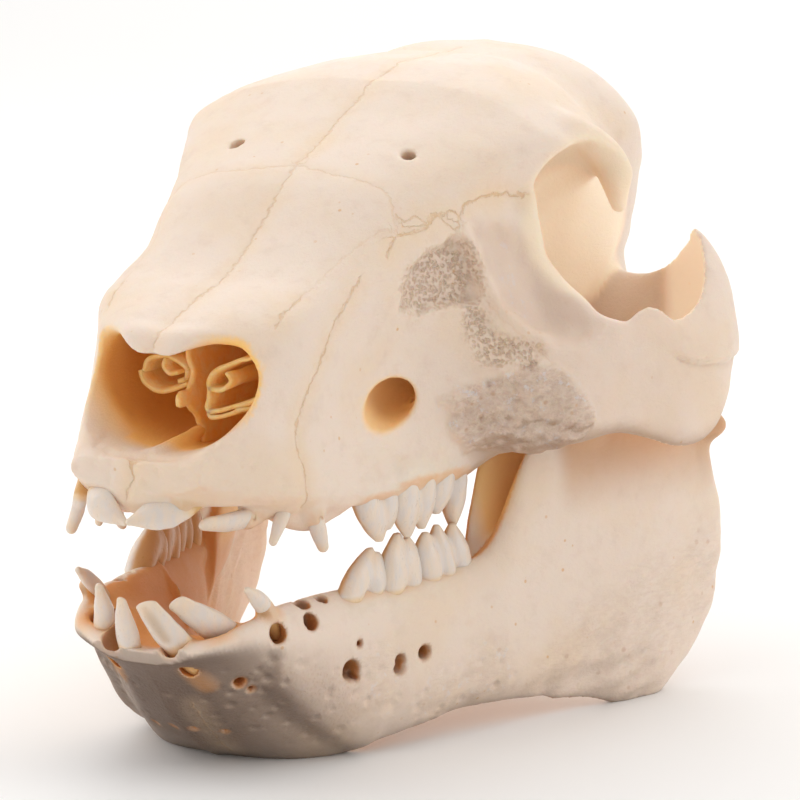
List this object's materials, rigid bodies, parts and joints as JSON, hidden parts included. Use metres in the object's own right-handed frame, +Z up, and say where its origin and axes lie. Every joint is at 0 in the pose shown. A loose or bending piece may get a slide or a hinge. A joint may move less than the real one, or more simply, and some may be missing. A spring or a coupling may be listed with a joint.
{
  "type": "pig skull",
  "caption": "Young pot-bellied pig skull with its lower jaw and milk teeth, short upturned snout, open eye sockets and wide cheek arches, resting on chin and jaw corners.",
  "frame": {"origin": "on the table, under the middle of the skull's bounding box", "axes": "+X to the animal's left, +Y from the snout to the back of the head, +Z up"},
  "size_m": [0.0998, 0.132, 0.1012],
  "materials": {
    "bone_cranium": "matte",
    "bone_mandible": "matte",
    "teeth": "satin"
  },
  "bodies": {
    "root": {"cranium": "bone_cranium", "mandible": "bone_mandible", "upper_incisor_1_left": "teeth", "upper_incisor_2_left": "teeth", "upper_incisor_3_left": "teeth", "upper_canine_left": "teeth", "upper_premolar_2_left": "teeth", "upper_premolar_3_left": "teeth", "upper_premolar_4_left": "teeth", "lower_incisor_1_left": "teeth", "lower_incisor_2_left": "teeth", "lower_incisor_3_left": "teeth", "lower_premolar_2_left": "teeth", "lower_premolar_3_left": "teeth", "lower_premolar_4_left": "teeth", "upper_incisor_1_right": "teeth", "upper_incisor_2_right": "teeth", "upper_incisor_3_right": "teeth", "upper_canine_right": "teeth", "upper_premolar_2_right": "teeth", "upper_premolar_3_right": "teeth", "upper_premolar_4_right": "teeth", "lower_incisor_1_right": "teeth", "lower_incisor_2_right": "teeth", "lower_incisor_3_right": "teeth", "lower_premolar_2_right": "teeth", "lower_premolar_3_right": "teeth", "lower_premolar_4_right": "teeth"}
  },
  "joints": []
}
